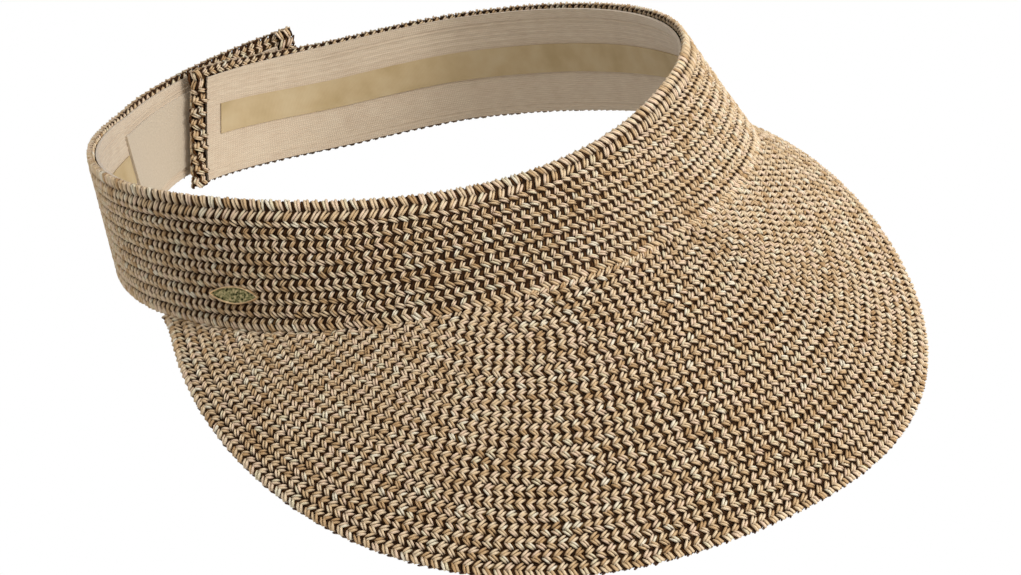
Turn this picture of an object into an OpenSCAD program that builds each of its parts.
// Braided sun visor: a ring of sewn braid with a drooping brim in front and a
// hook-and-loop closure behind. Every wall is drawn by its place round the ring,
// its distance down from the rim and its depth in from the outer face.
// The front is -Y, the wearer's left is +X, and it lies on the table at z = 0.

/* [Head ring] */
// Reach of the ring in front of its widest point
ring_front = 79.7; // [75:0.1:88]
// Half width of the ring
ring_side = 86.9; // [82:0.1:92]
// Reach of the ring behind its widest point
ring_back = 118.9; // [110:0.1:128]
// How much the ring narrows towards the back, like an egg
ring_egg = 2.4; // [1:0.1:4]
// How much the ring's corners are filled out
ring_fullness = 1.4; // [0:0.1:3]
// Dip of the rim at the forehead
rim_dip = 17; // [0:0.1:22]
// Extra lean of the band at the wearer's left temple, where it lies spread
left_flare = 8.8; // [0:0.1:12]
// How far the ring bulges out there
left_bulge = 3; // [0:0.1:6]

/* [Headband] */
// Height of the headband along its slope
band_h = 35.2; // [30:0.1:40]
// Thickness of the braid over its ridges
braid_t = 2.2; // [1.8:0.1:2.8]
// Height of one braid row
row_h = 3.5; // [3:0.1:5]
// Height of the ridge on each row
ridge_h = 0.6; // [0.2:0.1:1]
// Height of the bead that the last row makes over the rim
rim_bead = 0.5; // [0.2:0.1:1]
// Lean of the headband at the forehead, from upright
lean_front = 43.3; // [30:0.1:48]
// Lean of the headband at the back, from upright
lean_back = -0.3; // [-5:0.1:3]
// How quickly the lean fades away from the forehead
lean_fade = 5.7; // [4:0.1:8]

/* [Brim] */
// Width of the brim in the middle
brim_w = 85.2; // [65:0.1:100]
// Width that is left of the brim at each corner
corner_w = 1.3; // [1:0.1:4]
// Angle round the ring from the front to each corner
corner_angle = 84; // [78:0.1:86]
// Slope of the brim in the middle, below level
brim_droop = 45.3; // [35:0.1:52]
// Slope of the brim at its corners
corner_droop = -4; // [-8:0.1:20]
// How long the brim keeps its width towards the corners
brim_spread = 2.4; // [2:0.01:3]
// How quickly the slope eases towards the corners
droop_fade = 2.9; // [2:0.1:4]
// How the brim's width runs out at the corners
brim_taper = 1.93; // [1.6:0.005:2.1]
// Rise of the brim's middle above a straight slope
brim_camber = 2.5; // [0:0.1:5]
// Step from the headband's face in to the brim
crease_d = 0.8; // [0.7:0.1:1.2]
// How far the last row bulges past the brim's edge
edge_bead = 0.5; // [0.2:0.1:1]
// Gap between the headband and the brim sewn under it
seam_gap = 0.3; // [0.2:0.05:0.5]

/* [Closure] */
// Angle round the ring, from the front, of each strap's flex line
flex_angle = 122; // [116:0.5:128]
// Angle from the front of the line where the outer strap peels
peel_angle = 147; // [146:0.5:153]
// Angle from the front at which the outer strap ends
outer_end = 187.5; // [182:0.5:190]
// Angle from the front at which the inner strap ends
inner_end = 191.5; // [188:0.5:194]
// Angle at which the inner strap starts to step inwards
step_start = 143; // [138:0.5:150]
// Angle at which the inner strap is fully stepped in
step_end = 165; // [160:0.5:166]
// Angle at which the outer strap starts to climb
climb_start = 150; // [148:0.5:160]
// Climb of the outer strap to its end
outer_climb = 6.2; // [0:0.1:8]
// Climb of the inner strap to its end
inner_climb = 3.9; // [0:0.1:6]
// How much narrower the outer strap gets towards its end
outer_taper = 5; // [0:0.5:7]
// Angle at which the outer strap starts to get narrower
taper_start = 140; // [125:1:146]
// How far round the foot of the inner strap's end runs past its top, in degrees
end_slant = 7; // [0:0.5:8]
// Gap that each flex line and the peel line open into
joint_gap = 0.6; // [0.5:0.1:1]
// Gap left between the closed hook and loop tapes
closure_gap = 0.6; // [0.5:0.05:0.8]
// Thickness of the hook tape and of the loop tape
tape_t = 0.8; // [0.6:0.1:1.2]
// Height of both tapes
tape_h = 25; // [16:0.5:25]
// Distance from the rim down to the tapes
tape_top = 6.2; // [6:0.1:9]
// Angle from the front at which the hook tape starts
hook_start = 168; // [166:0.5:172]
// Length of the braid turned back over each strap's end
fold_l = 4; // [3:0.1:6]
// Thickness of the braid turned back over each strap's end
fold_t = 1.65; // [1.4:0.05:1.8]

/* [Lining] */
// Thickness of the sweatband tape
lining_t = 0.8; // [0.6:0.1:1.2]
// Width of braid left showing above the sweatband
lining_top = 2; // [1:0.1:3]
// How much wider that gets towards the end of the outer strap
outer_bare = 4; // [0:0.1:4.2]
// How much wider that gets towards the end of the inner strap
inner_bare = 2.3; // [0:0.1:4]
// Width of braid left showing below the sweatband
lining_bottom = 0.8; // [0.5:0.1:2]
// Distance from the rim down to the ribbon
ribbon_top = 12.3; // [10:0.1:15]
// Height of the ribbon
ribbon_h = 9.2; // [6:0.1:11]
// Thickness of the ribbon
ribbon_t = 0.35; // [0.3:0.05:0.6]
// Gap between layers that are sewn together
layer_gap = 0.15; // [0.1:0.05:0.25]

/* [Badge] */
// Length of the badge
badge_l = 16.5; // [12:0.5:18]
// Height of the badge
badge_h = 5; // [4:0.1:6]
// Thickness of the badge's plate
badge_t = 0.6; // [0.4:0.1:1]
// Width of the badge's raised rim
badge_rim_w = 0.5; // [0.3:0.1:0.8]
// Height of the rim above the plate
badge_rim_h = 0.3; // [0.2:0.1:0.6]
// Angle from the front to the badge, on the wearer's right
badge_angle = 61.5; // [50:0.5:70]
// Distance from the rim down to the badge's middle
badge_drop = 26; // [18:0.1:28]
// Turn of the badge, its front end down, in degrees
badge_tilt = 8.5; // [0:0.5:12]
// Gap behind the badge's plate
badge_gap = 0.2; // [0.1:0.05:0.4]
// Width of each prong
prong_w = 1.6; // [1:0.1:2]
// Thickness of each prong
prong_t = 0.5; // [0.4:0.1:0.8]
// Distance of each prong from the badge's middle
prong_x = 4.5; // [3:0.1:5]
// Depth that each prong reaches into the braid
prong_l = 1.4; // [1:0.1:1.7]

/* [Hidden] */

BRAID = "#B99C77";
COTTON = "#DCC3AB";
GOLD_RIBBON = "#C6B27F";
TAPE = "#E0D2BB";
BRASS = "#8E7A4A";

// Which strap a wall belongs to
RING = 0;
OUTER = 1;
INNER = 2;

// The ring is a mean circle with a shift, an oval, an egg and a fullness term
ring_mid = (ring_front + ring_back) / 2;
ring_oval = (ring_mid - ring_side) / 2;
ring_mean = ring_mid - ring_oval - ring_fullness;
ring_shift = (ring_back - ring_front) / 2 - ring_egg;

band_rows = round(band_h / row_h);
brim_rows = round(brim_w / row_h);
brim_t = braid_t - ridge_h;
lining_d = braid_t + layer_gap;
ribbon_d = lining_d + lining_t + layer_gap;
loop_d = lining_d + lining_t + layer_gap;
step_in = loop_d + tape_t + closure_gap + tape_t + layer_gap;
band_step = 4;
brim_steps = 40;

// 0 to 1, flat at both ends
function ease(u) =
    let (c = min(max(u, 0), 1)) c * c * (3 - 2 * c);

function ring_r(a) =
    ring_mean - ring_shift * cos(a) + ring_oval * cos(2 * a)
    - ring_egg * cos(3 * a) + ring_fullness * cos(4 * a) + left_bulge * spread(a);
function ring_dr(a) =
    ring_shift * sin(a) - 2 * ring_oval * sin(2 * a)
    + 3 * ring_egg * sin(3 * a) - 4 * ring_fullness * sin(4 * a)
    - left_bulge * spread(a) * (a - 70) / 392 * 180 / PI;
function radial(a) = [sin(a), -cos(a)];
// The ring's outward direction, square to its outline
function outward(a) =
    let (v = [ring_r(a) * sin(a) - ring_dr(a) * cos(a),
              -ring_r(a) * cos(a) - ring_dr(a) * sin(a)])
    v / norm(v);

// The spread at the left temple, from 0 to 1
function spread(a) = exp(-pow((a - 70) / 28, 2));
function near_front(a) = pow(max(cos(a / 2), 0), lean_fade);
function lean(a) = lean_back + (lean_front - lean_back) * near_front(a) + left_flare * spread(a);
function step(a, strap) =
    strap == INNER ? step_in * ease((a - step_start) / (step_end - step_start)) : 0;
function climb(a, strap) =
    strap == OUTER ? outer_climb * max(0, (-a - climb_start) / (outer_end - climb_start)) :
    strap == INNER ? inner_climb * ease((a - step_end) / (inner_end - step_end)) : 0;

// Share of the full height that is left where a strap gets narrower
function narrowed(a, strap) =
    strap == OUTER ? 1 - outer_taper / band_h * ease((-a - taper_start) / 20) : 1;

// Angle at which a line across the strap has got to at this distance down
function slanted(a, down, strap) =
    strap == INNER ? a + end_slant * down / band_h * ease((a - step_end) / (inner_end - step_end)) : a;

// A point of the wall: angle from the front, distance down, depth inwards
function wall_pt(across, down, deep, strap = RING) =
    let (a = slanted(across, down, strap), n = outward(a), l = lean(a),
         d = deep + step(across, strap), drop = down * narrowed(a, strap),
         out = drop * sin(l) - d * cos(l),
         xy = ring_r(a) * radial(a) + out * n)
    [xy[0], xy[1], climb(across, strap) - rim_dip * near_front(a) - drop * cos(l) - d * sin(l)];

// An angle's worth of a length along the ring
function turn(length, a) = length / (ring_r(a) * PI / 180);

// Angles from a0 to a1, with the steps between at whole multiples of band_step
function stations(a0, a1) =
    let (k0 = ceil(a0 / band_step + 0.2), k1 = floor(a1 / band_step - 0.2))
    concat([a0], k1 >= k0 ? [for (k = [k0:k1]) k * band_step] : [], [a1]);

// Two triangles between four corners
function quad(a, b, c, d) = [[a, b, c], [a, c, d]];

// A solid swept through rings of [down, point]. On one strap its cuts into triangles all
// slant the same way, so layers that lie together stay apart.
module swept(rings, strap) {
    m = len(rings[0]);
    last = (len(rings) - 1) * m;
    points = [for (ring = rings) for (q = ring) q[1]];
    sides = [for (i = [0:len(rings) - 2]) for (j = [0:m - 1])
        let (k = (j + 1) % m, a = i * m + j, b = a + m, c = (i + 1) * m + k, d = c - m)
        each (rings[0][j][0] < rings[0][k][0]) == (strap == INNER) ? quad(b, c, d, a)
            : quad(a, b, c, d)];
    start_cap = [for (j = [0:m - 1]) j];
    end_cap = [for (j = [m - 1:-1:0]) last + j];
    polyhedron(points, concat(sides, [start_cap, end_cap]));
}
// A wall round the ring from a section of [down, deep] points
module wall(a0, a1, section, strap = RING)
    swept([for (a = stations(a0, a1))
        [for (q = section) [q[0], wall_pt(a, q[0], q[1], strap)]]], strap);

// Section of the braid: ridged rows outside, plain inside, a bead over the rim
function braid_section() =
    let (h = band_h / band_rows)
    concat([for (i = [0:band_rows - 1]) each [[i * h, ridge_h], [(i + 0.5) * h, 0]]],
           [[band_h, ridge_h], [band_h, braid_t], [0, braid_t],
            [-rim_bead, (braid_t + ridge_h) / 2]]);
function tape_section(top, bottom, outer, inner) =
    [[top, outer], [bottom, outer], [bottom, inner], [top, inner]];

module braid_wall(a0, a1, strap = RING)
    color(BRAID) wall(a0, a1, braid_section(), strap);
// How much lower the sweatband's top edge gets towards a strap's end
function bared(a, strap) =
    strap == OUTER ? outer_bare * ease((-a - step_end) / (outer_end - step_end)) :
    strap == INNER ? inner_bare * ease((a - step_end) / (inner_end - step_end)) : 0;
// Section of the sweatband, with a point on its inner face at each edge of the ribbon
function lining_section(a, strap) =
    let (inner = lining_d + lining_t, bottom = band_h - lining_bottom,
         top = lining_top + bared(a, strap))
    [[top, lining_d], [bottom, lining_d], [bottom, inner],
     [ribbon_top + ribbon_h, inner], [ribbon_top, inner], [top, inner]];
module lining_wall(a0, a1, strap = RING)
    color(COTTON)
        swept([for (a = stations(a0, a1)) let (s = lining_section(a, strap))
            [for (q = s) [q[0], wall_pt(a, q[0], q[1], strap)]]], strap);
module ribbon_wall(a0, a1, strap = RING)
    color(GOLD_RIBBON)
        wall(a0, a1, tape_section(ribbon_top, ribbon_top + ribbon_h,
            ribbon_d, ribbon_d + ribbon_t), strap);

// The braid turned over a strap's end: a cap and a leg on the inner face.
// way is 1 where the strap runs towards larger angles and -1 where it runs back.
module end_fold(a_end, way, strap) {
    cap_0 = a_end + way * turn(layer_gap, a_end);
    cap_1 = cap_0 + way * turn(fold_t, a_end);
    leg_0 = a_end - way * turn(fold_l, a_end);
    inner = lining_d + fold_t;
    outline = [[cap_1, ridge_h], [cap_0, ridge_h], [cap_0, lining_d],
               [leg_0, lining_d], [leg_0, inner], [cap_1, inner]];
    points = [for (down = [0, band_h]) for (q = outline) wall_pt(q[0], down, q[1], strap)];
    top = [[0, 1, 2], [0, 2, 5], [2, 3, 4], [2, 4, 5]];
    bottom = [for (f = top) [f[2] + 6, f[1] + 6, f[0] + 6]];
    sides = [for (j = [0:5]) let (k = (j + 1) % 6) each quad(j, j + 6, k + 6, k)];
    faces = concat(top, bottom, sides);
    color(BRAID)
        polyhedron(points, way > 0 ? faces : [for (f = faces) [f[2], f[1], f[0]]]);
}

// ---- brim: t runs from -1 to 1 between the corners, s from the root outwards
function brim_reach(t) =
    corner_w + (brim_w - corner_w) * pow(1 - pow(abs(t), brim_spread), brim_taper);
function droop(t) = brim_droop + (corner_droop - brim_droop) * pow(abs(t), droop_fade);
function ruling(t) =
    let (r = radial(t * corner_angle) * cos(droop(t))) [r[0], r[1], -sin(droop(t))];
function brim_up(t) =
    let (r = radial(t * corner_angle) * sin(droop(t))) [r[0], r[1], cos(droop(t))];
function brim_pt(t, s, high) =
    let (k = s / brim_reach(t),
         arch = brim_camber * 4 * k * (1 - k) * brim_reach(t) / brim_w)
    wall_pt(t * corner_angle, band_h + seam_gap, crease_d)
    + s * ruling(t) + (high + arch) * brim_up(t);

// Rows run parallel to the edge, so each is measured square to it
function edge_pt(t) = let (c = min(max(t, -1), 1)) brim_pt(c, brim_reach(c), 0);
function square_to_edge(t) =
    let (v = edge_pt(t + 0.01) - edge_pt(t - 0.01), along = v * ruling(t) / norm(v))
    sqrt(1 - along * along);
function rows_room(t) = brim_reach(t) * square_to_edge(t);
// The place towards a corner where a row at this distance from the edge meets the seam
function row_end(d, low = 0, high = 1, tries = 16) =
    rows_room(1) >= d ? 1 :
    tries == 0 ? low :
    let (mid = (low + high) / 2)
    rows_room(mid) > d ? row_end(d, mid, high, tries - 1) : row_end(d, low, mid, tries - 1);

function row_pt(d, t, ridge, under) =
    let (s = max(0, brim_reach(t) - d / square_to_edge(t)))
    brim_pt(t, s, ridge * min(1, s / row_h) - under);
function row_line(d, ridge, under) =
    let (end = row_end(d))
    [for (i = [0:brim_steps]) row_pt(d, end * (2 * i / brim_steps - 1), ridge, under)];
function root_line(d, under) =
    let (end = row_end(d))
    [for (i = [1:brim_steps - 1]) brim_pt(end * (2 * i / brim_steps - 1), 0, -under)];
function bead_line() =
    [for (i = [0:brim_steps]) let (t = 2 * i / brim_steps - 1)
        brim_pt(t, brim_reach(t) + edge_bead, -brim_t / 2)];

module brim() {
    row = brim_w / brim_rows;
    n = brim_steps;
    w = n + 1;
    tops = 2 * brim_rows - 1;
    last_d = (brim_rows - 1) * row;
    points = concat(
        [for (k = [0:tops - 1]) each row_line(k * row / 2, (k % 2) * ridge_h, 0)],
        [for (k = [0:brim_rows - 1]) each row_line(k * row, 0, brim_t)],
        root_line(last_d, 0), root_line(last_d, brim_t), bead_line());
    under = tops * w;
    root_top = under + brim_rows * w;
    root_under = root_top + n - 1;
    bead = root_under + n - 1;
    last_top = (tops - 1) * w;
    last_under = under + (brim_rows - 1) * w;
    // Root points, where both ends are shared with the last row's ends
    function rt(i) = i == 0 ? last_top : i == n ? last_top + n : root_top + i - 1;
    function ru(i) = i == 0 ? last_under : i == n ? last_under + n : root_under + i - 1;
    upper = [for (k = [0:tops - 2]) for (i = [0:n - 1])
        let (p = k * w + i) each quad(p, p + w, p + w + 1, p + 1)];
    lower = [for (k = [0:brim_rows - 2]) for (i = [0:n - 1])
        let (p = under + k * w + i) each quad(p, p + 1, p + w + 1, p + w)];
    root = [for (i = [0:n - 1]) each concat(
        quad(rt(i), ru(i), ru(i + 1), rt(i + 1)),
        i == 0 ? [[last_top, rt(1), last_top + 1], [last_under, last_under + 1, ru(1)]] :
        i == n - 1 ? [[last_top + i, rt(i), last_top + n], [last_under + i, last_under + n, ru(i)]] :
        concat(quad(last_top + i, rt(i), rt(i + 1), last_top + i + 1),
               quad(last_under + i, last_under + i + 1, ru(i + 1), ru(i))))];
    edge = [for (i = [0:n - 1]) each concat(
        quad(i, i + 1, bead + i + 1, bead + i),
        quad(bead + i, bead + i + 1, under + i + 1, under + i))];
    right_end = [for (k = [0:brim_rows - 2])
        let (p = 2 * k * w, q = under + k * w)
        each [[p, q, p + w], [p + w, q, q + w], [p + w, q + w, p + 2 * w]]];
    left_end = [for (f = right_end) [f[2] + n, f[1] + n, f[0] + n]];
    bead_ends = [[0, bead, under], [n, under + n, bead + n]];
    color(BRAID)
        polyhedron(points, concat(upper, lower, root, edge, right_end, left_end, bead_ends));
}

// ---- stance: the visor lies on the back of its band and the front of its brim
back_low = [for (a = [flex_angle + 2:2:outer_end]) for (side = [[a, INNER], [-a, OUTER]])
    wall_pt(side[0], band_h, braid_t / 2, side[1])];
front_low = bead_line();
stance = min([for (b = back_low)
    max([for (f = front_low) atan2(b[2] - f[2], b[1] - f[1])])]);
function stood(p) =
    [p[0], p[1] * cos(stance) + p[2] * sin(stance), p[2] * cos(stance) - p[1] * sin(stance)];
outer_faces = [for (a = concat(stations(-outer_end, -peel_angle), stations(flex_angle, inner_end)))
    for (q = braid_section()) stood(wall_pt(a, q[0], q[1], a < 0 ? OUTER : INNER))];
brim_faces = [for (p = concat(front_low, row_line(0, 0, brim_t), row_line(0, 0, 0))) stood(p)];
front_y = min([for (p = brim_faces) p[1]]);
right_x = min([for (p = brim_faces) p[0]]);
left_x = max([for (p = brim_faces) p[0]]);
back_y = max([for (p = outer_faces) p[1]]);
table_z = min([for (p = concat(outer_faces, brim_faces)) p[2]]);

module stand()
    translate([-(right_x + left_x) / 2, -(front_y + back_y) / 2, -table_z])
        rotate([-stance, 0, 0])
            children();

// ---- places where one piece of the band ends and the next begins
flex_gap = turn(joint_gap / 2, flex_angle);
peel_gap = turn(joint_gap / 2, peel_angle);
outer_fold = turn(fold_l + layer_gap, outer_end);
inner_fold = turn(fold_l + layer_gap, inner_end);
ring_end = flex_angle - flex_gap;
strap_start = flex_angle + flex_gap;
strap_stop = peel_angle - peel_gap;
tail_start = peel_angle + peel_gap;

module headband() braid_wall(-ring_end, ring_end);
module right_strap() braid_wall(-strap_stop, -strap_start, OUTER);
module right_strap_tail() braid_wall(-outer_end, -tail_start, OUTER);
module left_strap() braid_wall(strap_start, inner_end, INNER);
module right_end_fold() end_fold(-outer_end, -1, OUTER);
module left_end_fold() end_fold(inner_end, 1, INNER);

module sweatband() lining_wall(-ring_end, ring_end);
module right_sweatband() lining_wall(-strap_stop, -strap_start, OUTER);
module tail_sweatband() lining_wall(-outer_end + outer_fold, -tail_start, OUTER);
module left_sweatband() lining_wall(strap_start, inner_end - inner_fold, INNER);
module ribbon() ribbon_wall(-ring_end, ring_end);
module right_ribbon() ribbon_wall(-strap_stop, -strap_start, OUTER);
module left_ribbon() ribbon_wall(strap_start, inner_end - inner_fold, INNER);

module loop_tape()
    color(TAPE)
        wall(-outer_end + outer_fold, -tail_start,
            tape_section(tape_top, tape_top + tape_h, loop_d, loop_d + tape_t), OUTER);
module hook_tape()
    color(TAPE)
        wall(hook_start, inner_end,
            tape_section(tape_top, tape_top + tape_h, -layer_gap - tape_t, -layer_gap), INNER);

// Pointed oval of two arcs
module lens(length, height) {
    r = (length * length + height * height) / (4 * height);
    intersection() {
        translate([r - height / 2, 0]) circle(r = r, $fn = 96);
        translate([height / 2 - r, 0]) circle(r = r, $fn = 96);
    }
}

module badge() {
    a = -badge_angle;
    n = outward(a);
    color(BRASS)
        translate(wall_pt(a, badge_drop, -badge_gap))
            rotate([0, 90 - lean(a), atan2(n[1], n[0])]) rotate(-badge_tilt) {
                linear_extrude(badge_t) lens(badge_l, badge_h);
                linear_extrude(badge_t + badge_rim_h)
                    difference() {
                        lens(badge_l, badge_h);
                        lens(badge_l - badge_rim_w * badge_l / badge_h, badge_h - 2 * badge_rim_w);
                    }
                for (side = [-1, 1])
                    translate([-prong_t / 2, side * prong_x - prong_w / 2, -badge_gap - prong_l])
                        cube([prong_t, prong_w, badge_gap + prong_l + badge_t / 2]);
            }
}

stand() brim();
stand() headband();
stand() right_strap();
stand() right_strap_tail();
stand() left_strap();
stand() right_end_fold();
stand() left_end_fold();
stand() sweatband();
stand() right_sweatband();
stand() tail_sweatband();
stand() left_sweatband();
stand() ribbon();
stand() right_ribbon();
stand() left_ribbon();
stand() loop_tape();
stand() hook_tape();
stand() badge();
